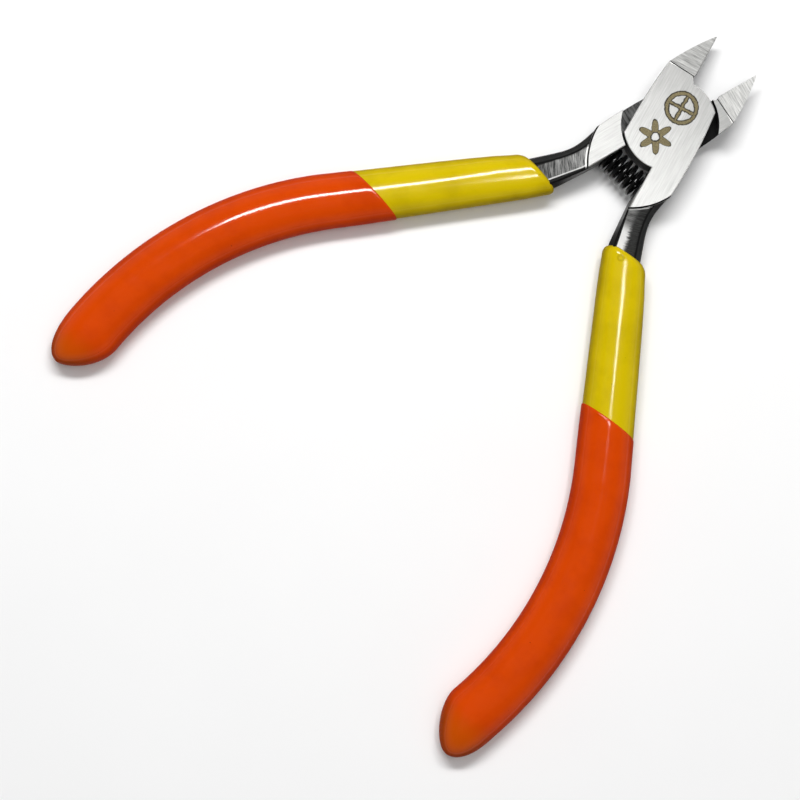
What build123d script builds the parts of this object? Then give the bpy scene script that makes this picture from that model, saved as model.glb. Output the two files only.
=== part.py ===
from build123d import *
import os
from math import cos, copysign, exp, pi, radians, sin, sqrt, tan

# Five-inch diagonal cutting pliers with a lap joint, a coil spring behind it and
# handles dipped twice in soft plastic.  Millimetres.  The origin is the pivot axis
# on the flat rear face, +Y towards the jaw tips, +Z towards the front face.
# Each half is drawn closed, jaw on +X and handle on -X, its lap layer below MID.

# ---------------------------------------------------------------- head
THICK = 8.0              # thickness of the ground head
MID = THICK / 2          # height of the lap faces and of the forging line
LAP_GAP = 0.05           # slack between the two lap faces
OPEN_HALF = 15.4         # each half swings out this far when the spring is free
LOBE_R = 7.75            # round edge of the lap layer
SHOULDER_R = 8.15        # round shoulder the other half's lobe turns in
TIP_Y = 17.05            # jaw tip
BASE_Y = 9.0             # start of the tapered jaw
INNER_X = 0.75           # inner walls of the closed halves stand this far off centre
HEEL_Y = -15.5           # inner corner of the ground face
HEEL_OUT = (-5.8, -10.7) # outer corner of the ground face
EDGE_BREAK = 0.12        # small bevel round the ground faces
HEEL_BREAK = 0.25        # wider bevel where the ground face meets the neck
EDGE_GAP = 0.03          # half the slack between the closed cutting edges
TIP_HALF = 0.9           # half thickness of the jaw at its tip
BASE_HALF = 3.55         # half thickness of the jaw at its start
STEP_RUN = 0.22          # length of the small step where the jaw starts
STEP_SKEW = 0.06         # the step isn't quite square to the jaw
RELIEF = tan(radians(24))  # rearward relief behind each cutting edge
EDGE_FACET = 0.28        # narrow ground facet along the cutting edge

# ---------------------------------------------------------------- pivot
PIN_R = 2.5
PIN_CLEAR = 0.04
PIN_TOP = 6.6            # blind end inside the front half
HEAD_R = 3.7             # countersunk head, flush with the rear face
HEAD_DEPTH = 1.5

# ---------------------------------------------------------------- spring
SPRING_R = 2.08          # coil centreline radius
WIRE_R = 0.37
SPRING_TURNS = 8.5
SPRING_HALF = 5.2        # half the free length between the seats
SPRING_Y = -10.6         # across the handles just behind the joint
SEAT_R = 2.85
SEAT_FLOOR = -3.35       # bottom of the spring seat in the closed half
SEAT_Y = -11.4           # seat centre along the closed half

# ---------------------------------------------------------------- handles
LEAN = 23.0              # straight part of the handle leans out this much
MOUTH = (-4.0, -22.3)    # centre of the handle where the plastic starts
STRAIGHT = 35.6
BEND_R = 62.0            # the handle then curves back on this radius
GRIP_HALF = 3.99         # half thickness of the finished handle
COAT_HALF = 3.4          # half thickness of the first coat at the grip end
NOSE_LEAN = -9.0         # the grip end turns out again
DIP_TILT = 7.0           # both plastic edges lie at a slight slope
COAT_Y_LEVEL = -47.9     # level of the second coat at the handle centre

# Left and right handle: level of the first coat, centre of the last full section,
# its half width and the length of the rounded nose after it.
LEFT_DIP = (-22.5, (-18.95, -100.0), 4.97, 8.3)
RIGHT_DIP = (-22.1, (-18.85, -100.8), 5.15, 8.6)


def along(s):
    """Centre and lean of the handle at distance s behind the mouth."""
    a0 = radians(LEAN)
    straight = min(s, STRAIGHT)
    a = a0 - (s - straight) / BEND_R
    x = MOUTH[0] - straight * sin(a0) + BEND_R * (cos(a0) - cos(a))
    y = MOUTH[1] - straight * cos(a0) - BEND_R * (sin(a0) - sin(a))
    return x, y, a


def across(x, y, a):
    """Plane across the handle: local x runs inwards, local y runs up."""
    return Plane(origin=(x, y, MID), x_dir=(cos(a), -sin(a), 0), z_dir=(-sin(a), -cos(a), 0))


# ---------------------------------------------------------------- steel half
def rim_point(degrees):
    return LOBE_R * cos(radians(degrees)), LOBE_R * sin(radians(degrees))


def head_outline():
    """Plan of the ground head with its jaw blank."""
    e = EDGE_GAP
    jaw_out = (5.15, 9.15)
    shoulder = (5.6, 5.1)
    low_in = (-INNER_X, -sqrt(LOBE_R ** 2 - INNER_X ** 2))
    up_in = (-0.2, sqrt(LOBE_R ** 2 - 0.2 ** 2))
    heel_in = (-INNER_X, HEEL_Y)
    notch = [up_in, (0.12, 8.25), (0.42, 8.6), (0.42, 9.0), (e, 9.45), (e, TIP_Y), (0.42, TIP_Y - 0.38)]
    edges = [Line(a, b) for a, b in zip(notch, notch[1:])]
    edges += [
        ThreePointArc(notch[-1], (3.05, 12.9), jaw_out),
        Line(jaw_out, shoulder),
        ThreePointArc(shoulder, (5.92, 0.3), rim_point(-38.2)),
        ThreePointArc(rim_point(-38.2), rim_point(-67), low_in),
        Line(low_in, heel_in),
        ThreePointArc(heel_in, (-3.7, -13.4), HEEL_OUT),
        ThreePointArc(HEEL_OUT, (-6.12, -2.4), rim_point(136.7)),
        ThreePointArc(rim_point(136.7), rim_point(112.5), up_in),
    ]
    return make_face(Wire(edges))


def head_plate():
    plate = extrude(head_outline(), THICK)
    on_faces = plate.edges().filter_by(lambda edge: abs(edge.center().Z - MID) > MID - 0.01)
    heel = on_faces.filter_by(lambda edge: edge.center().Y < -12)
    plate = chamfer(heel, HEEL_BREAK)
    on_faces = plate.edges().filter_by(lambda edge: abs(edge.center().Z - MID) > MID - 0.01)
    rest = on_faces.filter_by(lambda edge: edge.length > 2 and -12 < edge.center().Y < 8)
    return chamfer(rest, EDGE_BREAK)


def neck_section(x, y, lean, w, h, q_in):
    """Forged section: widest at mid height, crisp inner corner, rounder outer one."""
    q_out = 0.62
    low = h - 0.3
    pts = [(w, 0), (q_in * w, h), (-q_out * w, low), (-w, 0), (-q_out * w, -low), (q_in * w, -h)]
    face = make_face(Polyline(*pts, close=True))
    corners = face.vertices().filter_by(lambda v: abs(v.Y) > 0.5 * h)
    face = fillet(corners.filter_by(lambda v: v.X > 0), 0.35)
    face = fillet(face.vertices().filter_by(lambda v: abs(abs(v.Y) - low) < 0.01 and v.X < 0), 0.8)
    return across(x, y, radians(lean)) * face


def neck_and_tang():
    """Forged neck out of the head, then the slimmer tang inside the plastic."""
    join = 6.0
    x_join, y_join, lean = along(join)
    neck = [
        (-3.20, -6.5, 0.0, 2.70, 3.95, 0.90),
        (-3.17, -10.5, 0.0, 2.60, 3.80, 0.90),
        (-2.70, -14.4, 3.0, 2.38, 3.60, 0.90),
        (-2.92, -17.6, 14.0, 2.46, 3.30, 0.84),
        (-3.34, -20.2, 20.0, 2.80, 3.00, 0.76),
        (-4.08, -23.2, 22.5, 3.05, 2.72, 0.72),
        (x_join, y_join, LEAN, 2.95, 2.50, 0.72),
    ]
    tang = [
        (join, 2.95, 2.5),
        (20, 2.8, 2.2),
        (34.2, 2.7, 2.0),
        (50, 2.65, 2.0),
        (66, 2.6, 2.0),
        (80, 2.4, 1.9),
    ]
    tang_sections = []
    for s, w, h in tang:
        x, y, a = along(s)
        tang_sections.append(neck_section(x, y, a * 180 / pi, w, h, 0.72))
    return loft([neck_section(*st) for st in neck]) + loft(tang_sections)


def half_space(x, y, z, normal, size=30):
    """Big block standing on the plane through the point, on the normal's side."""
    block = Box(size, size, size, align=(Align.CENTER, Align.CENTER, Align.MIN))
    return Plane(origin=(x, y, z), z_dir=normal) * block


def region_ahead(y):
    return Pos(0, y + 15, MID) * Box(30, 30, 30)


def taper_cutters():
    """Blocks that take both faces of the plate down to the tapered jaw."""
    slope = (BASE_HALF - TIP_HALF) / (TIP_Y - BASE_Y)
    rise = MID - BASE_HALF
    cutters = []
    for side in (1, -1):
        z = MID + side * BASE_HALF
        top = half_space(0, BASE_Y, z, (0, slope, side))
        step = half_space(0, BASE_Y, z, (-STEP_SKEW * rise, rise, side * STEP_RUN))
        cutters.append(top & step & region_ahead(BASE_Y - 1))
    return cutters


def edge_cutters(side):
    """Relief and narrow facet of the cutting edge; side 1 puts the edge on top."""
    z = MID + side * (BASE_HALF - EDGE_FACET)
    edge = Vector(0, TIP_Y - BASE_Y, -side * (BASE_HALF - TIP_HALF))
    cutters = []
    for direction in (Vector(RELIEF, 0, -side), Vector(0.8, 0, side)):
        normal = direction.cross(edge)
        if normal.X > 0:
            normal = normal * -1
        cutters.append(half_space(EDGE_GAP, BASE_Y, z, tuple(normal)) & region_ahead(BASE_Y + 0.2))
    return cutters


def forging():
    """One half before its cutting edge is ground: the same blank for both halves."""
    body = head_plate() + neck_and_tang()
    for cutter in taper_cutters():
        body = body - cutter
    lap = Pos(0, 0, MID - LAP_GAP / 2) * Cylinder(
        SHOULDER_R, 10, align=(Align.CENTER, Align.CENTER, Align.MIN)
    )
    mouth_x = 2.0
    seat = Plane(origin=(mouth_x, SEAT_Y, MID), z_dir=(-1, 0, 0)) * Cylinder(
        SEAT_R, mouth_x - SEAT_FLOOR, align=(Align.CENTER, Align.CENTER, Align.MIN)
    )
    return body - lap - seat


def ground_half(blank, side):
    for cutter in edge_cutters(side):
        blank = blank - cutter
    return blank


def front_turn(shape):
    """The front half is the same forging turned over about the tool's long axis."""
    turned = Pos(0, 0, THICK) * (Rot(0, 180, 0) * shape)
    return Rot(0, 0, OPEN_HALF) * turned


def rear_turn(shape):
    return Rot(0, 0, -OPEN_HALF) * shape


# ---------------------------------------------------------------- dipped plastic
def skin_half(s):
    """Half width of the finished handle, widening gently towards its end."""
    return 3.95 + 1.45 * (1 - exp(-s / 45))


def coat_depth(s):
    """Depth of the second coat, thin at its edge and thicker further down."""
    return 0.13 + 0.5 / (1 + exp((50 - s) / 5))


def soft_section(place, w, h, square=1.0):
    """Section of a dipped handle: an ellipse, squarer as the last value falls."""
    if square == 1.0:
        return place * Ellipse(w, h)
    pts = []
    for k in range(20):
        c, t = cos(2 * pi * k / 20), sin(2 * pi * k / 20)
        pts.append((copysign(abs(c) ** square * w, c), copysign(abs(t) ** square * h, t)))
    return place * make_face(Spline(*pts, periodic=True))


def nose(place, w, h, length):
    """Rounded end of a dipped handle, like a settled drip."""
    ball = scale(Sphere(1), by=(w, h, length))
    return place * (ball & (Pos(0, 0, 10) * Box(20, 20, 20)))


def level_above(y_level, x_level):
    """Everything on the head side of a dip line."""
    t = radians(DIP_TILT)
    return half_space(x_level, y_level, MID, (-sin(t), cos(t), 0.10), size=90)


def build_coats(steel, dip):
    skin_level, (end_x, end_y), end_half, nose_length = dip
    end_place = across(end_x, end_y, radians(NOSE_LEAN))
    end_depth = coat_depth(80)

    def first(s, h, square):
        return soft_section(across(*along(s)), skin_half(s) - coat_depth(s), h, square)

    lip_w = skin_half(1.5) - coat_depth(1.5)
    rim = loft([
        soft_section(across(*along(-5.5)), lip_w - 0.80, 2.95, 0.7),
        soft_section(across(*along(-2.0)), lip_w - 0.30, 3.30, 0.7),
        first(1.5, 3.55, 0.7),
    ])
    upper = loft([
        first(1.5, 3.55, 0.7),
        first(12.4, 3.65, 0.80),
        first(23.3, 3.68, 0.93),
        first(34.2, 3.68, 0.99),
    ])
    lower = loft([
        first(34.2, 3.68, 0.99),
        first(46.0, 3.6, 0.99),
        first(60.0, 3.45, 0.99),
        first(73.0, COAT_HALF, 0.99),
        soft_section(end_place, end_half - end_depth, COAT_HALF, 0.99),
    ])
    cap = nose(end_place, 0.98 * (end_half - end_depth), 0.98 * COAT_HALF, nose_length - end_depth)
    inner = rim + upper + lower + cap
    over = []
    for s in (20.0, 34.2, 46.0, 60.0, 73.0):
        edge_thinning = 0.12 * (s < 25)
        over.append(soft_section(across(*along(s)), skin_half(s), GRIP_HALF - edge_thinning))
    over.append(soft_section(end_place, end_half, GRIP_HALF))
    outer = loft(over) + nose(end_place, end_half, GRIP_HALF, nose_length)
    inner = inner - level_above(skin_level, -3.7)
    outer = outer - level_above(COAT_Y_LEVEL, -14.7)
    return inner - steel, outer - inner


# ---------------------------------------------------------------- small parts
def cone_head(r_big, depth, r_small):
    """Countersunk head with its large end on the rear face."""
    return Pos(0, 0, depth / 2) * Cone(r_big, r_small, depth)


def rivet():
    shaft = Cylinder(PIN_R, PIN_TOP, align=(Align.CENTER, Align.CENTER, Align.MIN))
    return shaft + cone_head(HEAD_R, HEAD_DEPTH, PIN_R)


def bore_rear(half):
    hole = Pos(0, 0, -1) * Cylinder(
        PIN_R + PIN_CLEAR, 10, align=(Align.CENTER, Align.CENTER, Align.MIN)
    )
    sink = cone_head(HEAD_R + 1.6 * PIN_CLEAR, HEAD_DEPTH + 0.5 * PIN_CLEAR, PIN_R + PIN_CLEAR)
    return half - hole - sink


def bore_front(half):
    hole = Pos(0, 0, 2) * Cylinder(
        PIN_R, PIN_TOP - 2, align=(Align.CENTER, Align.CENTER, Align.MIN)
    )
    return half - hole


def spring():
    """Open coil across the handles."""
    length = 2 * SPRING_HALF
    helix = Helix(pitch=length / SPRING_TURNS, height=length, radius=SPRING_R)
    wire = Plane(origin=helix @ 0, z_dir=helix % 0) * Circle(WIRE_R)
    coil = sweep(wire, path=helix, is_frenet=True)
    return Plane(origin=(-SPRING_HALF, SPRING_Y, MID), x_dir=(0, 1, 0), z_dir=(1, 0, 0)) * coil


# ---------------------------------------------------------------- assembly
def write(name, shape):
    solid = max(shape.solids(), key=lambda item: item.volume)
    solid.label = name
    export_step(solid, f"parts/{name}.step")


os.makedirs("parts", exist_ok=True)
blank = forging()
write("rear_half", bore_rear(rear_turn(ground_half(blank, 1))))
write("front_half", bore_front(front_turn(ground_half(blank, -1))))
write("pivot_rivet", rivet())
write("return_spring", spring())
for side, place, dip in (("left", rear_turn, LEFT_DIP), ("right", front_turn, RIGHT_DIP)):
    inner_coat, outer_coat = build_coats(blank, dip)
    write(f"{side}_grip_inner_coat", place(inner_coat))
    write(f"{side}_grip_outer_coat", place(outer_coat))
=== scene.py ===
import math

import bpy
from mathutils import Matrix, Vector

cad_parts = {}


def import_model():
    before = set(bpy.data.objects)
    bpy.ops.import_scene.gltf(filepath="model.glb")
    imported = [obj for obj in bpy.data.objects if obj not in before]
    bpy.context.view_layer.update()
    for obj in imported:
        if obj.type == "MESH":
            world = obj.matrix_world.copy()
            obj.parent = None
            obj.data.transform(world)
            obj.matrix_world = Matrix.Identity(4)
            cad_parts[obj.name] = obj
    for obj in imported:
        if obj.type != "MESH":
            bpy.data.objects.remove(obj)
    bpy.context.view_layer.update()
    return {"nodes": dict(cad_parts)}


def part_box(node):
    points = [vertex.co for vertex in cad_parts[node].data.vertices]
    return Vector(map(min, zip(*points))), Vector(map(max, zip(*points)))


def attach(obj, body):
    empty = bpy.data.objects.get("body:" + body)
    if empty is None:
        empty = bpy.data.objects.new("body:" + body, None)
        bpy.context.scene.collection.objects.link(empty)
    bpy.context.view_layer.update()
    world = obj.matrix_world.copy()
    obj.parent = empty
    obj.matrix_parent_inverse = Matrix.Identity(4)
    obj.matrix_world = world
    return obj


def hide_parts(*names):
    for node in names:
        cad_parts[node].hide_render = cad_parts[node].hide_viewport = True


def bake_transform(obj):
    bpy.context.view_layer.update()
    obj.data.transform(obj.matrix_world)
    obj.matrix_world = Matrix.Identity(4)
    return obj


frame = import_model()

MM = 0.001
OPEN = math.radians(15.4)      # each half stands this far out at rest
MID = 4.0                      # height of the lap faces, mm


# ------------------------------------------------------------------ node helpers
class Mat:
    """A node material being built, and the nodes it is built from."""

    def __init__(self, name):
        self.mat = bpy.data.materials.new(name)
        self.mat.use_nodes = True
        self.nodes = self.mat.node_tree.nodes
        self.links = self.mat.node_tree.links
        self.nodes.clear()
        out = self.nodes.new("ShaderNodeOutputMaterial")
        self.bsdf = self.nodes.new("ShaderNodeBsdfPrincipled")
        self.links.new(self.bsdf.outputs[0], out.inputs[0])

    def set(self, socket, value):
        self.bsdf.inputs[socket].default_value = value

    def wire(self, out, socket):
        self.links.new(out, self.bsdf.inputs[socket])

    def feed(self, socket, v):
        """Give a socket a number or a colour, or link another node's output to it."""
        if isinstance(v, tuple):
            socket.default_value = (*v, 1)
        elif isinstance(v, (int, float)):
            socket.default_value = v
        else:
            self.links.new(v, socket)

    # ---- where the point is
    def coords(self):
        return self.nodes.new("ShaderNodeTexCoord").outputs["Object"]

    def normal_z(self):
        return self.split(self.nodes.new("ShaderNodeNewGeometry").outputs["Normal"])[2]

    def mapping(self, vec, scale=(1, 1, 1), rot=(0, 0, 0), loc=(0, 0, 0)):
        n = self.nodes.new("ShaderNodeMapping")
        n.inputs["Scale"].default_value = scale
        n.inputs["Rotation"].default_value = rot
        n.inputs["Location"].default_value = loc
        self.links.new(vec, n.inputs["Vector"])
        return n.outputs[0]

    def split(self, vec):
        n = self.nodes.new("ShaderNodeSeparateXYZ")
        self.links.new(vec, n.inputs[0])
        return n.outputs

    # ---- numbers
    def noise(self, vec, scale, detail, rough):
        n = self.nodes.new("ShaderNodeTexNoise")
        n.inputs["Scale"].default_value = scale
        n.inputs["Detail"].default_value = detail
        n.inputs["Roughness"].default_value = rough
        self.links.new(vec, n.inputs["Vector"])
        return n.outputs["Fac"]

    def math(self, op, a, b=None, c=None, clamp=False):
        n = self.nodes.new("ShaderNodeMath")
        n.operation = op
        n.use_clamp = clamp
        for i, v in enumerate((a, b, c)):
            if v is not None:
                self.feed(n.inputs[i], v)
        return n.outputs[0]

    def add(self, a, b):
        return self.math("ADD", a, b)

    def sub(self, a, b):
        return self.math("SUBTRACT", a, b)

    def mul(self, a, b):
        return self.math("MULTIPLY", a, b)

    def inv(self, v):
        return self.math("SUBTRACT", 1, v)

    def abs(self, v):
        return self.math("ABSOLUTE", v)

    def radius(self, x, y):
        return self.math("SQRT", self.add(self.mul(x, x), self.mul(y, y)))

    def step(self, v, low, high):
        """Smooth 0 to 1 as v goes from low to high."""
        n = self.nodes.new("ShaderNodeMapRange")
        n.interpolation_type = "SMOOTHSTEP"
        n.inputs["From Min"].default_value = low
        n.inputs["From Max"].default_value = high
        self.links.new(v, n.inputs["Value"])
        return n.outputs[0]

    def band(self, v, low, high, soft):
        """1 while v is between low and high, fading over soft."""
        return self.mul(self.step(v, low - soft, low), self.inv(self.step(v, high, high + soft)))

    def remap(self, v, a, b, c, d):
        """c to d as v goes from a to b."""
        n = self.nodes.new("ShaderNodeMapRange")
        n.inputs["From Min"].default_value = a
        n.inputs["From Max"].default_value = b
        n.inputs["To Min"].default_value = c
        n.inputs["To Max"].default_value = d
        self.links.new(v, n.inputs["Value"])
        return n.outputs[0]

    def vary(self, noise, low, high):
        """low to high over the middle of a noise's range."""
        return self.remap(noise, 0.3, 0.7, low, high)

    def lerp(self, fac, a, b):
        n = self.nodes.new("ShaderNodeMix")
        n.data_type = "FLOAT"
        for i, v in ((0, fac), (2, a), (3, b)):
            self.feed(n.inputs[i], v)
        return n.outputs[0]

    # ---- colour and relief
    def rgb(self, red, green, blue):
        n = self.nodes.new("ShaderNodeCombineColor")
        for i, v in enumerate((red, green, blue)):
            self.links.new(v, n.inputs[i])
        return n.outputs[0]

    def mix(self, fac, a, b):
        n = self.nodes.new("ShaderNodeMix")
        n.data_type = "RGBA"
        for i, v in ((0, fac), (6, a), (7, b)):
            self.feed(n.inputs[i], v)
        return n.outputs[2]

    def bump(self, height, strength, distance):
        n = self.nodes.new("ShaderNodeBump")
        n.inputs["Strength"].default_value = strength
        n.inputs["Distance"].default_value = distance
        self.links.new(height, n.inputs["Height"])
        return n.outputs[0]


# ------------------------------------------------------------------ steel
def circle_through(a, b, c):
    """Centre and radius of the circle through three points."""
    d = 2 * (a[0] * (b[1] - c[1]) + b[0] * (c[1] - a[1]) + c[0] * (a[1] - b[1]))
    sa, sb, sc = (p[0] ** 2 + p[1] ** 2 for p in (a, b, c))
    x = (sa * (b[1] - c[1]) + sb * (c[1] - a[1]) + sc * (a[1] - b[1])) / d
    y = (sa * (c[0] - b[0]) + sb * (a[0] - c[0]) + sc * (b[0] - a[0])) / d
    return x, y, math.hypot(a[0] - x, a[1] - y)


# Heights and lengths on the steel are in mm, in the half's own frame.
HEEL = circle_through((0.75, -15.5), (3.7, -13.4), (5.8, -10.7))
HEEL_FROM = -9.5               # the heel's arc is all behind this
JAW_FROM = 8.95                # the relieved face of the jaw starts here
FACE = 3.98                    # the ground faces are this far from the lap


class Forging:
    """Where a point of a steel half is: y along the jaw, out towards its own handle."""

    def __init__(self, m, turn, side):
        self.own = m.mapping(m.coords(), scale=(1 / MM,) * 3, rot=(0, 0, turn))
        x, self.y, z = m.split(self.own)
        self.out = m.mul(x, side)
        self.nz = m.normal_z()
        self.facing = m.abs(self.nz)
        self.height = m.abs(m.sub(z, MID))
        flat = m.step(self.facing, 0.97, 0.995)
        self.head = m.mul(flat, m.step(self.height, FACE - 0.05, FACE))
        self.lap = m.mul(flat, m.math("LESS_THAN", self.height, 0.6))
        self.jaw = m.step(self.y, JAW_FROM - 0.1, JAW_FROM + 0.1)
        self.upright = m.inv(m.step(self.facing, 0.08, 0.22))
        cx, cy, heel_r = HEEL
        self.past_heel = m.sub(m.radius(m.sub(self.out, cx), m.sub(self.y, cy)), heel_r)
        self.behind = m.math("LESS_THAN", self.y, HEEL_FROM)
        self.neck = m.mul(m.step(self.past_heel, -0.02, 0.04), self.behind)


class Grinding:
    """Marks left by the wheel: along the head, across the jaw, across the neck."""

    def __init__(self, m, own, neck_turn):
        squared = m.mapping(own, rot=(0, 0, -neck_turn))
        self.fine_long = m.noise(m.mapping(own, scale=(5.2, 0.26, 0.9)), 1.0, 5, 0.62)
        self.wide_long = m.noise(m.mapping(own, scale=(1.7, 0.09, 0.4), loc=(7, 3, 1)), 1.0, 4, 0.55)
        self.fine_cross = m.noise(m.mapping(own, scale=(0.42, 6.5, 0.9), loc=(3, 9, 2)), 1.0, 5, 0.65)
        self.wide_cross = m.noise(m.mapping(own, scale=(0.20, 1.9, 0.5), loc=(1, 5, 8)), 1.0, 4, 0.6)
        self.neck_fine = m.noise(m.mapping(squared, scale=(0.55, 7.5, 0.9), loc=(5, 2, 7)), 1.0, 5, 0.7)
        self.neck_wide = m.noise(m.mapping(squared, scale=(0.25, 2.2, 0.5), loc=(4, 1, 6)), 1.0, 4, 0.6)
        self.grain = m.noise(m.mapping(own, scale=(1.6, 1.6, 1.6)), 1.0, 5, 0.65)


def head_tone(m, at, marks, shade):
    """Pale face, darker towards the jaw: painted reflection that falls off along the face, a little
    paler where shade is 1.
    """
    tone = m.add(m.vary(marks.fine_long, -0.14, 0.08), m.vary(marks.wide_long, 0.70, 0.82))
    return m.mul(tone, m.remap(at.y, -12, 10, 0.48 + 0.05 * shade, 0.265))


def jaw_tone(m, at, marks, gain):
    """Relieved face, with a painted shadow line and a painted highlight on the edge where it leaves the
    head.
    """
    tone = m.add(m.vary(marks.fine_cross, -0.16, 0.16), m.vary(marks.wide_cross, 0.32, 0.50))
    tone = m.mul(tone, 1.2 * gain)
    # painted highlight: a bright band along the edge of the relief
    tone = m.lerp(m.band(at.y, JAW_FROM + 0.07, JAW_FROM + 0.21, 0.05), tone, 0.62)
    # painted shadow: a thin dark line just before it
    return m.lerp(m.band(at.y, JAW_FROM - 0.15, JAW_FROM - 0.02, 0.04), tone, 0.08)


def neck_tone(m, at, marks, shade, span):
    """Neck with a ground strip down its front, from span[0] to span[1], carrying painted highlight and
    painted shade; off the strip it is near black, partly its dark finish and partly painted shade.
    """
    u = m.sub(at.out, m.remap(at.y, -16.0, -23.2, 2.72, 4.08))
    strip = m.band(u, span[0], span[1], 0.10)
    # painted highlight: a pale line along the strip's inner edge, where shade is 0
    edge_highlight = m.mul(m.band(u, span[0] - 0.05, span[0] + 0.12, 0.05), 1.0 - shade)
    ragged = m.add(u, m.vary(marks.neck_fine, -0.45, 0.45))
    # painted shade: the outer half of the strip goes near black, where shade is 1
    dark = m.mul(m.step(ragged, -0.9, 0.1), shade)
    # painted highlight: the inner half of the strip, towards the grip, where shade is 1
    bright = m.mul(m.step(m.mul(at.y, -1), 17.0, 19.5), shade)
    bright = m.mul(bright, m.inv(m.step(ragged, -0.9, 0.0)))
    tone = m.add(m.vary(marks.neck_fine, -0.13, 0.13), m.vary(marks.neck_wide, 0.04, 0.20))
    tone = m.lerp(bright, tone, 0.88)
    # painted shade: darker towards the grip, where shade is 0
    tone = m.mul(tone, m.remap(at.y, -15.5, -23.0, 0.75 + 0.25 * shade, 0.35 + 0.65 * shade))
    tone = m.lerp(dark, tone, m.vary(marks.neck_fine, 0.005, 0.05))
    # Off the strip, and on faces sloping more than about 30 degrees, the neck is near black: partly its
    # dark finish, partly painted shade.
    tone = m.lerp(strip, m.vary(marks.fine_long, 0.0, 0.02), tone)
    tone = m.lerp(m.inv(m.step(at.facing, 0.88, 0.95)), tone, 0.005)
    return m.lerp(m.mul(edge_highlight, 0.8), tone, 0.28)


def side_tone(m, at, marks):
    """Black walls, partly their dark finish and partly painted shade for the dark they reflect, darkest
    where they slope, with the grey line of the forging flash round the neck.
    """
    sloping = m.vary(marks.grain, 0.002, 0.012)
    tone = m.lerp(at.upright, sloping, m.vary(marks.grain, 0.015, 0.055))
    flash = m.mul(m.band(at.height, 0.0, 0.45, 0.1), at.neck)
    return m.lerp(flash, tone, m.vary(marks.fine_long, 0.01, 0.07))


def lap_tone(m, at, marks):
    """Lap face painted near black as shade, with painted light in grey grinding stripes on its outer
    half.
    """
    # painted light: grey stripes where the light reaches the outer half; the rest stays painted shade
    lit_stripes = m.mul(m.step(at.out, -1.0, 2.0), m.remap(marks.wide_cross, 0.35, 0.65, 0.0, 0.13))
    return m.add(lit_stripes, 0.004)


def edges(m, at, marks, tone):
    """Painted shadow and a painted highlight in lines round the heel, pale edges, and worn spots."""
    # painted shadow: a dark line just inside the heel's arc, on its sloping wall
    heel_shade_line = m.mul(m.band(at.past_heel, -0.24, -0.02, 0.04), at.behind)
    heel_shade_line = m.mul(heel_shade_line, m.band(at.facing, 0.5, 0.97, 0.02))
    tone = m.lerp(heel_shade_line, tone, 0.01)
    # painted highlight: a bright line just outside the heel's arc
    bright = m.mul(m.band(at.past_heel, 0.04, 0.22, 0.05), at.behind)
    bright = m.mul(bright, m.step(at.facing, 0.8, 0.9))
    tone = m.lerp(m.mul(bright, 0.5), tone, 0.7)
    edge = m.mul(m.band(at.facing, 0.62, 0.80, 0.03), m.step(at.height, FACE - 0.23, FACE - 0.13))
    tone = m.lerp(m.mul(edge, m.inv(heel_shade_line)), tone, 0.75)
    worn = m.step(m.add(marks.grain, m.mul(marks.fine_long, 0.3)), 0.86, 0.98)
    return m.lerp(m.mul(worn, 0.25), tone, 0.25)


def steel(name, turn, side, shade, jaw_gain, neck_turn, span, mark=None):
    """Ground and blackened forging, with painted shade and highlights, turned out of its own frame by
    turn.

    side is 1 with the handle on +X. shade is how dark the painted shade on the outer half of the neck's
    front face is and how strong the painted highlight on its inner half, jaw_gain how pale the jaw,
    neck_turn how far the grinding lines on the neck are turned, and span the ground strip's two sides
    in mm.
    """
    m = Mat(name)
    at = Forging(m, turn, side)
    marks = Grinding(m, at.own, neck_turn)
    tone = m.lerp(at.jaw, head_tone(m, at, marks, shade), jaw_tone(m, at, marks, jaw_gain))
    tone = m.lerp(at.neck, tone, neck_tone(m, at, marks, shade, span))
    # Faces sloping steeply away from the top take the near-black wall tone: partly dark finish, partly
    # painted shade.
    tone = m.lerp(m.step(at.facing, 0.45, 0.60), side_tone(m, at, marks), tone)
    tone = m.lerp(at.lap, tone, lap_tone(m, at, marks))
    tone = edges(m, at, marks, tone)

    colour = m.rgb(tone, tone, m.mul(tone, 0.975))
    rough = m.lerp(at.head, m.lerp(at.neck, 0.55, 0.36), m.vary(marks.wide_long, 0.32, 0.42))
    rough = m.lerp(m.step(at.facing, 0.3, 0.6), 0.80, rough)
    rough = m.lerp(at.upright, rough, m.vary(marks.grain, 0.60, 0.40))
    relief = m.lerp(m.math("MAXIMUM", at.jaw, at.neck), marks.fine_long, marks.fine_cross)
    relief = m.lerp(at.upright, relief, m.mul(marks.grain, 2.5))
    if mark is not None:
        colour, relief = mark(m, at, colour, relief)
    shine = m.step(tone, 0.02, 0.12)
    gloss = m.math("MAXIMUM", shine, m.mul(at.upright, 0.7))
    m.wire(colour, "Base Color")
    m.wire(rough, "Roughness")
    m.wire(m.lerp(shine, 0.0, 0.72), "Metallic")
    m.wire(m.lerp(gloss, 0.08, 0.5), "Specular IOR Level")
    m.wire(m.bump(relief, 0.30, 0.03 * MM), "Normal")
    return m.mat


def ring_and_cross(m, x, y):
    """Below 0 inside a ring with a cross, and above 0 outside it."""
    radius, half_rim, half_bar = 2.45, 0.42, 0.36
    r = m.radius(x, y)
    rim = m.sub(m.abs(m.sub(r, radius)), half_rim)
    bars = m.sub(m.math("MINIMUM", m.abs(x), m.abs(y)), half_bar)
    return m.math("MINIMUM", rim, m.math("MAXIMUM", bars, m.sub(r, radius)))


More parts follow.
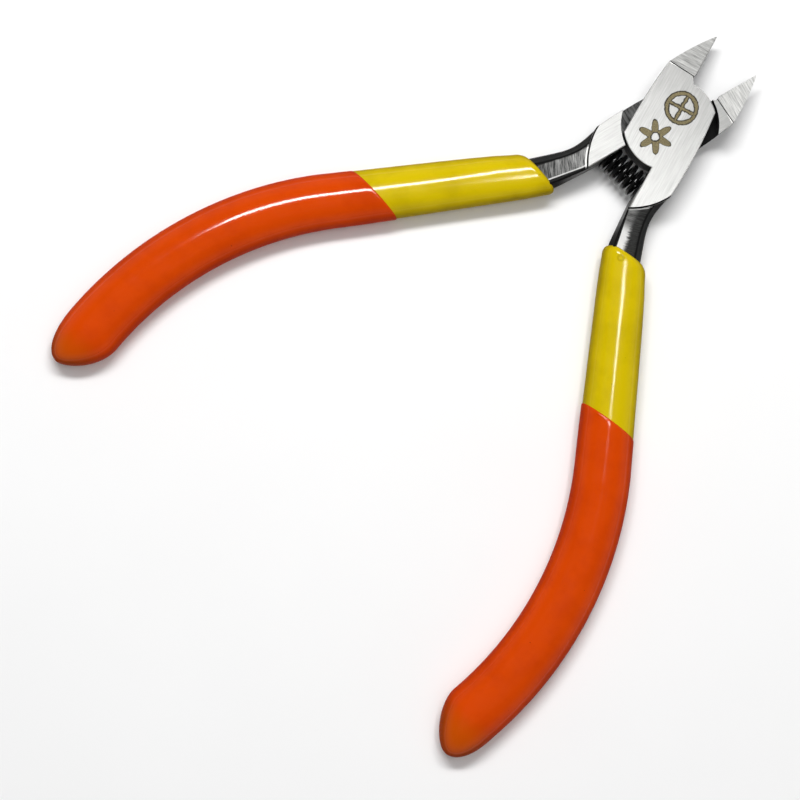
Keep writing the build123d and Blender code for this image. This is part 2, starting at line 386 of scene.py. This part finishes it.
def rosette(m, x, y):
    """Below 0 inside a rosette of leaves with a hole in the middle."""
    leaves, radius, wave, hole = 6.0, 2.15, 0.85, 0.62
    r = m.radius(x, y)
    swing = m.math("COSINE", m.mul(m.math("ARCTAN2", y, x), leaves))
    leaf = m.sub(r, m.math("MULTIPLY_ADD", swing, wave, radius))
    return m.math("MAXIMUM", leaf, m.sub(hole, r))


def etched_mark(m, at, colour, relief):
    """Two plain etched ornaments on the front face."""
    shapes = []
    for (cx, cy), ornament in (((0.35, 3.25), ring_and_cross), ((-1.15, -3.0), rosette)):
        x, y, _ = m.split(m.mapping(at.own, loc=(-cx, -cy, 0)))
        shapes.append(ornament(m, x, y))
    wobble = m.vary(m.noise(at.own, 1.4, 3, 0.6), -0.10, 0.10)
    shape = m.add(m.math("MINIMUM", *shapes), wobble)
    on_front = m.math("GREATER_THAN", at.nz, 0.9)
    inside = m.mul(m.inv(m.step(shape, -0.05, 0.05)), on_front)
    core = m.mul(m.inv(m.step(shape, -0.26, -0.14)), on_front)
    speck = m.noise(at.own, 6.0, 3, 0.6)
    fill = m.mix(m.step(speck, 0.35, 0.65), (0.055, 0.044, 0.020), (0.115, 0.095, 0.046))
    colour = m.mix(core, m.mix(inside, colour, (0.012, 0.009, 0.004)), fill)
    return colour, m.lerp(inside, relief, m.vary(speck, -0.6, 0.0))


def plain_metal(name, tone, rough, scale, metallic=1.0):
    """Metal of one tone, brushed or cloudy by the scale of its noise."""
    m = Mat(name)
    v = m.noise(m.mapping(m.coords(), scale=scale), 1.0, 4, 0.55)
    t = m.vary(v, tone * 0.8, tone * 1.2)
    m.wire(m.rgb(t, t, t), "Base Color")
    m.set("Metallic", metallic)
    m.wire(m.vary(v, rough * 0.85, rough * 1.2), "Roughness")
    m.wire(m.bump(v, 0.3, 0.03 * MM), "Normal")
    return m.mat


# ------------------------------------------------------------------ dipped plastic
def burst_bubble(m, co, x, y):
    """Ring left by a small bubble in the front face, at x, y in metres."""
    bx, by, bz = m.split(m.mapping(co, loc=(-x, -y, -MID * MM)))
    ring = m.band(m.radius(bx, by), 0.36 * MM, 0.50 * MM, 0.20 * MM)
    return m.mul(ring, m.math("GREATER_THAN", bz, 0))


def dip(name, colour, thin, polish, bubble=None, tip=None):
    """Glossy dipped plastic, with painted shade: the darker colour thin down the sides.

    polish is its roughness on the crown; bubble is the place of a burst bubble;
    tip is the side colour, painted in shade, and the crown colour where the last drip hangs at the end.
    """
    m = Mat(name)
    co = m.coords()
    up = m.abs(m.normal_z())
    steep = m.inv(m.step(up, 0.62, 0.84))
    soft = m.noise(m.mapping(co, scale=(60, 60, 60)), 1.0, 2, 0.5)
    fine = m.noise(m.mapping(co, scale=(420, 420, 420)), 1.0, 3, 0.5)
    dust = m.noise(m.mapping(co, scale=(1500, 1500, 1500), loc=(2, 5, 1)), 1.0, 1, 0.4)
    drift = m.noise(m.mapping(co, scale=(130, 130, 130), loc=(4, 1, 6)), 1.0, 4, 0.6)
    uneven = m.remap(drift, 0.35, 0.65, -0.32, 0.16)
    # painted shade: the colour turns to thin as the surface turns away from the top, mottled at random
    # by uneven
    skin = m.mix(m.math("ADD", m.step(up, 0.15, 0.95), uneven, clamp=True), thin, colour)
    relief = m.add(soft, m.mul(fine, 0.05))
    if tip is not None:
        y = m.add(m.split(co)[1], m.mul(drift, 4 * MM))
        drip = m.inv(m.step(y, -96 * MM, -90 * MM))
        # painted shade on the drip as well: its side colour where it turns away from the top
        skin = m.mix(drip, skin, m.mix(m.step(up, 0.55, 0.9), *tip))
    if bubble is not None:
        burst = burst_bubble(m, co, *bubble)
        relief = m.add(relief, m.mul(burst, 3.0))
        # painted shade: the bubble's ring is darkened in colour as well as given relief
        skin = m.mix(m.mul(burst, 0.28), skin, tuple(0.45 * v for v in thin))
    speck = m.mul(m.step(dust, 0.80, 0.84), 0.6)
    m.wire(m.mix(speck, skin, tuple(0.3 * v for v in thin)), "Base Color")
    m.wire(m.lerp(steep, m.vary(fine, polish - 0.025, polish + 0.025), 0.5), "Roughness")
    m.wire(m.lerp(steep, 0.45, 0.02), "Specular IOR Level")
    m.wire(m.bump(relief, 0.25, 0.4 * MM), "Normal")
    m.set("Subsurface Weight", 0.05)
    m.set("Subsurface Radius", (0.002, 0.0008, 0.0003))
    return m.mat


# ------------------------------------------------------------------ pieces
def cad_material(node, mat):
    """Give a CAD piece its material."""
    o = frame["nodes"][node]
    o.data.materials.clear()
    o.data.materials.append(mat)


def ring_faces(rings, sides):
    """Faces between rings of points one after the other, and a cap at each end."""
    faces = []
    for i in range(rings - 1):
        for k in range(sides):
            j = (k + 1) % sides
            faces.append((i * sides + k, i * sides + j, (i + 1) * sides + j, (i + 1) * sides + k))
    faces.append(tuple(reversed(range(sides))))
    faces.append(tuple((rings - 1) * sides + k for k in range(sides)))
    return faces


def mesh_object(name, verts, faces, mat):
    """New object, smooth except for its caps."""
    mesh = bpy.data.meshes.new(name)
    mesh.from_pydata(verts, [], faces)
    for poly in mesh.polygons:
        poly.use_smooth = len(poly.vertices) == 4
    mesh.materials.append(mat)
    o = bpy.data.objects.new(name, mesh)
    bpy.context.scene.collection.objects.link(o)
    return o


def tube(name, path, radius, mat, sides=14):
    """Closed round tube along a list of points, with flat ends."""
    verts = []
    last = len(path) - 1
    normal = Vector((0, 0, 1))
    for i in range(last + 1):
        ahead = (path[min(i + 1, last)] - path[max(i - 1, 0)]).normalized()
        normal = (normal - ahead * normal.dot(ahead)).normalized()
        side = ahead.cross(normal)
        for k in range(sides):
            a = 2 * math.pi * k / sides
            verts.append(path[i] + (normal * math.cos(a) + side * math.sin(a)) * radius)
    return mesh_object(name, verts, ring_faces(last + 1, sides), mat)


def return_spring(mat):
    """Coil between the two seats."""
    low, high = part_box("return_spring")
    wire = 0.37 * MM
    coil_r = (high[2] - low[2]) / 2 - wire
    cy, cz = (low[1] + high[1]) / 2, (low[2] + high[2]) / 2
    x0, x1 = low[0] + wire, high[0] - wire
    turns, steps_a_turn = 8.5, 44
    count = int(turns * steps_a_turn)
    path = []
    for i in range(count + 1):
        a = 2 * math.pi * i / steps_a_turn
        x = x0 + (x1 - x0) * i / count
        path.append(Vector((x, cy + coil_r * math.cos(a), cz + coil_r * math.sin(a))))
    o = tube("spring_coil", path, wire, mat)
    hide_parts("return_spring")
    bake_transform(o)


# ------------------------------------------------------------------ dipped handles
# Lengths in this section are in mm, s is measured down the handle from the mouth.
LEAN = math.radians(23.0)      # straight part of the closed handle leans out this much
MOUTH = (4.0, -22.3)           # centre of the handle where the plastic starts
STRAIGHT = 35.6                # the handle is straight this far, then it bends
BEND_R = 62.0
ORANGE_FROM = 27.8
YELLOW_END = 46.0              # hidden inside the orange coat
RISE = -0.10                   # how far a dip line slants through the thickness, per mm
EASED_FROM = 1.8               # a dip line can straighten this far in from the middle
RING = 96                      # points round the handle


def along(s):
    """Centre and lean of the closed handle, s mm behind the mouth."""
    straight = min(s, STRAIGHT)
    a = LEAN - (s - straight) / BEND_R
    x = MOUTH[0] + straight * math.sin(LEAN) - BEND_R * (math.cos(LEAN) - math.cos(a))
    y = MOUTH[1] - straight * math.cos(LEAN) - BEND_R * (math.sin(LEAN) - math.sin(a))
    return x, y, a


def smooth(v, low, high):
    """Smooth 0 to 1 as v goes from low to high."""
    t = min(max((v - low) / (high - low), 0.0), 1.0)
    return t * t * (3 - 2 * t)


def skin(s):
    """Half width and half thickness of the orange coat, and of the yellow under it."""
    w = 3.93 + 1.45 * (1 - math.exp(-s / 45))
    coat = 0.13 + 0.22 * smooth(s, 30, 50)
    return w, 3.93, w - coat, 3.60 + 0.12 * smooth(s, 0, 14) - 0.1 * smooth(s, 30, 60)


class Sweep:
    """Mesh built ring by ring across a handle."""

    def __init__(self, hand):
        self.hand = hand
        self.verts = []

    def ring(self, s, w, h, square=1.0, slant=(0.0, 0.0), shift=0.0, ease=0.0):
        """One ring of half width w and half thickness h; below 1, square fills its corners.

        slant is how far the ring leans with the dip line, per mm inwards and upwards,
        shift moves it inwards, and ease straightens the inner end of a slant.
        """
        cx, cy, a = along(s)
        for k in range(RING):
            t = 2 * math.pi * k / RING
            c, n = math.cos(t), math.sin(t)
            u = math.copysign(abs(c) ** square * (w + self.hand.girth), c)
            v = math.copysign(abs(n) ** square * h, n)
            back = slant[0] * (u - ease * max(0.0, u - EASED_FROM)) + slant[1] * v
            u += shift
            x = cx - u * math.cos(a) + back * math.sin(a)
            y = cy - u * math.sin(a) - back * math.cos(a)
            self.verts.append(self.hand.place(x, y, MID + v))

    def build(self, name, mat, node, body):
        rings = len(self.verts) // RING
        o = mesh_object(name, self.verts, ring_faces(rings, RING), mat)
        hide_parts(node)
        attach(o, body)


class Hand:
    """One handle: side 1 is the right one, on the front half.

    girth is added to its half width, lip is where the yellow starts, tilt and
    second_tilt are how far the two dip lines slant in degrees, ease straightens
    the inner end of the first. The nose starts at nose_from, is nose_length long,
    hangs out by nose_shift along a curve of power nose_bend, and narrows faster
    the larger nose_point is.
    """

    def __init__(self, side, girth, lip, ease, tilt, second_tilt,
                 nose_from, nose_length, nose_shift, nose_bend, nose_point):
        self.side = side
        self.ease = ease
        self.girth = girth
        self.lip = lip
        self.tilt = tilt
        self.second_tilt = second_tilt
        self.nose_from = nose_from
        self.nose_length = nose_length
        self.nose_shift = nose_shift
        self.nose_bend = nose_bend
        self.nose_point = nose_point

    def place(self, x, y, z):
        """From the closed tool, handle on +X, to the shared frame at rest."""
        c, s = math.cos(OPEN), math.sin(OPEN)
        out = x * c - y * s
        return Vector((self.side * out, x * s + y * c, z)) * MM


def slant_of(tilt_degrees):
    """Lean of a dip line against the handle's own cross-section."""
    return -math.tan(LEAN + math.radians(tilt_degrees))


def quarter(steps):
    """Angles from 0 to 90 degrees, for a rounded lip."""
    return [math.pi / 2 * k / steps for k in range(steps + 1)]


def yellow_coat(hand, mat, node, body):
    """First dip: a fat lip on a squarish mouth, rounder further down."""
    m = Sweep(hand)
    lean = (slant_of(hand.tilt), RISE)
    lip_depth, lip_run, side_gap, face_gap = 0.75, 1.3, 0.12, 0.05
    for phi in quarter(8):
        s = hand.lip + lip_run * (1 - math.cos(phi))
        _, _, w, h = skin(max(s, 0))
        inset = lip_depth * (1 - math.sin(phi))
        m.ring(s, w - side_gap - inset, h - face_gap - inset, 0.85, lean, ease=hand.ease)
    first = hand.lip + lip_run
    count = 70
    for i in range(1, count + 1):
        s = first + (YELLOW_END - first) * i / count
        _, _, w, h = skin(s)
        settle = 1 - smooth(s, first, 14)
        square = 0.85 + 0.15 * smooth(s, 2, 20)
        thin = 1 - smooth(s, first, 6)
        m.ring(s, w - side_gap * thin, h - face_gap * thin, square,
               (lean[0] * settle, lean[1] * settle), ease=hand.ease)
    m.build(f"{node}_skin", mat, node, body)


def orange_coat(hand, mat, node, body):
    """Second dip: a thin lip, and a nose where the last drip hung."""
    m = Sweep(hand)
    lean = (slant_of(hand.second_tilt), RISE)
    lip_depth, lip_run = 0.35, 0.5
    for phi in quarter(6):
        s = ORANGE_FROM + lip_run * (1 - math.cos(phi))
        w, h, _, _ = skin(s)
        inset = lip_depth * (1 - math.sin(phi))
        m.ring(s, w - inset, h - inset, 1.0, lean)
    first = ORANGE_FROM + lip_run
    count = 90
    for i in range(1, count + 1):
        s = first + (hand.nose_from - first) * i / count
        w, h, _, _ = skin(s)
        settle = 1 - smooth(s, first, first + 16)
        m.ring(s, w, h, 1.0, (lean[0] * settle, lean[1] * settle))
    w, h, _, _ = skin(hand.nose_from)
    nose_rings = 24
    for k in range(1, nose_rings + 1):
        psi = math.pi / 2 * k / (nose_rings + 0.6)    # the last ring is a small flat cap
        t = math.sin(psi)
        m.ring(hand.nose_from + hand.nose_length * t, w * math.cos(psi) ** hand.nose_point,
               h * math.cos(psi), 1.0, (0, 0), -hand.nose_shift * t ** hand.nose_bend)
    m.build(f"{node}_skin", mat, node, body)


# ------------------------------------------------------------------ the tool
# Each dip: its colour on the crown, and the darker colour painted down the sides as shade.
YELLOW, YELLOW_SHADED_SIDE = (0.62, 0.465, 0.001), (0.38, 0.270, 0.0005)
ORANGE, ORANGE_SHADED_SIDE = (0.63, 0.057, 0.0004), (0.44, 0.029, 0.0002)
# The drip's side colour is painted shade, its crown colour the plastic's own.
DRIP = ((0.32, 0.040, 0.001), (0.56, 0.078, 0.0005))    # its side and its crown
BUBBLE = (9.54 * MM, -21.47 * MM)                       # near the right mouth

cad_material("front_half", steel("steel_front", turn=-OPEN, side=1, shade=1.0, jaw_gain=1.0,
                                 neck_turn=0.30, span=(-1.75, 9.0), mark=etched_mark))
cad_material("rear_half", steel("steel_rear", turn=OPEN, side=-1, shade=0.0, jaw_gain=1.6,
                                neck_turn=-0.45, span=(-1.5, 1.25)))
cad_material("pivot_rivet", plain_metal("steel_rivet", 0.62, 0.3, (400, 4000, 400)))
return_spring(plain_metal("black_spring", 0.003, 0.16, (900, 900, 900), metallic=0.0))
yellow = dip("dip_yellow", YELLOW, YELLOW_SHADED_SIDE, polish=0.14, bubble=BUBBLE)
orange = dip("dip_orange", ORANGE, ORANGE_SHADED_SIDE, polish=0.095, tip=DRIP)
LEFT_HAND = Hand(-1, girth=-0.06, lip=0.15, ease=0.15, tilt=11.0, second_tilt=12.0,
                 nose_from=81.4, nose_length=7.95, nose_shift=1.6, nose_bend=2.0, nose_point=1.1)
RIGHT_HAND = Hand(1, girth=0.06, lip=-0.1, ease=0.8, tilt=5.0, second_tilt=7.0,
                  nose_from=83.1, nose_length=7.75, nose_shift=2.0, nose_bend=1.5, nose_point=1.12)
for side, hand, lever in (("left", LEFT_HAND, "rear_lever"), ("right", RIGHT_HAND, "front_lever")):
    yellow_coat(hand, yellow, f"{side}_grip_inner_coat", lever)
    orange_coat(hand, orange, f"{side}_grip_outer_coat", lever)


# ------------------------------------------------------------------ floor, light, camera
# Camera straight above, turned so the jaws point up and to the right.
CENTRE = Vector((-0.25, -63.9, 0.0)) * MM
TURN = math.radians(45.8)
RIGHT = Vector((math.sin(TURN), math.cos(TURN), 0))
UP = Vector((-math.cos(TURN), math.sin(TURN), 0))
CAMERA_HEIGHT = 0.455
FIELD = 0.13333                # width seen at FIELD_HEIGHT
FIELD_HEIGHT = 0.005
SENSOR = 36.0


def floor():
    """Pale plane just under the object, wide enough to fill every view."""
    m = Mat("floor_pale")
    v = m.noise(m.mapping(m.coords(), scale=(30, 30, 30)), 1.0, 3, 0.5)
    m.wire(m.mix(v, (0.90, 0.90, 0.90), (0.93, 0.93, 0.93)), "Base Color")
    m.set("Roughness", 0.9)
    s = 2.5
    o = mesh_object("floor", [(-s, -s, 0), (s, -s, 0), (s, s, 0), (-s, s, 0)], [(0, 1, 2, 3)], m.mat)
    o.location = (0, -0.064, -0.0001)


def area(name, loc, target, size, power):
    """Rectangular light at loc that looks at target, its first side along RIGHT."""
    light = bpy.data.lights.new(name, "AREA")
    light.shape = "RECTANGLE"
    light.size, light.size_y = size
    light.energy = power
    o = bpy.data.objects.new(name, light)
    away = (loc - target).normalized()
    across = (RIGHT - away * RIGHT.dot(away)).normalized()
    turn = Matrix((across, away.cross(across), away)).transposed()
    o.matrix_world = Matrix.Translation(loc) @ turn.to_4x4()
    bpy.context.scene.collection.objects.link(o)
    return o


def world(overhead, around):
    """Dim room overhead, pale walls all round."""
    w = bpy.data.worlds.new("studio")
    w.use_nodes = True
    nodes, links = w.node_tree.nodes, w.node_tree.links
    coords = nodes.new("ShaderNodeTexCoord")
    axes = nodes.new("ShaderNodeSeparateXYZ")
    fall = nodes.new("ShaderNodeMapRange")
    fall.interpolation_type = "SMOOTHSTEP"
    fall.inputs["From Min"].default_value = 0.15
    fall.inputs["From Max"].default_value = 0.75
    fall.inputs["To Min"].default_value = around
    fall.inputs["To Max"].default_value = overhead
    links.new(coords.outputs["Generated"], axes.inputs[0])
    links.new(axes.outputs[2], fall.inputs["Value"])
    links.new(fall.outputs[0], nodes["Background"].inputs[1])
    nodes["Background"].inputs[0].default_value = (1, 1, 1, 1)
    bpy.context.scene.world = w


def studio(right, up, height):
    """Place over the object, in metres: to the camera's right, up, and above the floor."""
    return CENTRE + RIGHT * right + UP * up + Vector((0, 0, height))


def camera():
    """Camera over CENTRE, looking straight down."""
    data = bpy.data.cameras.new("camera")
    data.lens = SENSOR * (CAMERA_HEIGHT - FIELD_HEIGHT) / FIELD
    data.sensor_width = SENSOR
    data.clip_start = 0.01
    o = bpy.data.objects.new("camera", data)
    turn = Matrix((RIGHT, UP, Vector((0, 0, 1)))).transposed()
    o.matrix_world = Matrix.Translation(studio(0, 0, CAMERA_HEIGHT)) @ turn.to_4x4()
    bpy.context.scene.collection.objects.link(o)
    bpy.context.scene.camera = o


floor()
world(overhead=0.035, around=0.24)
fill = area("fill", studio(0, 0.1, 0.9), CENTRE, (1.1, 1.1), power=3.6)
fill.visible_glossy = False    # it lights softly, without a glare on the gloss
area("key", studio(0.005, 0.232, 0.50), CENTRE, (0.29, 0.07), power=2.2)
area("strip", studio(0.094, 0.036, 0.55), studio(0.03, 0.0, 0), (0.050, 0.080), power=0.30)
camera()
bpy.context.scene.view_settings.view_transform = "Standard"
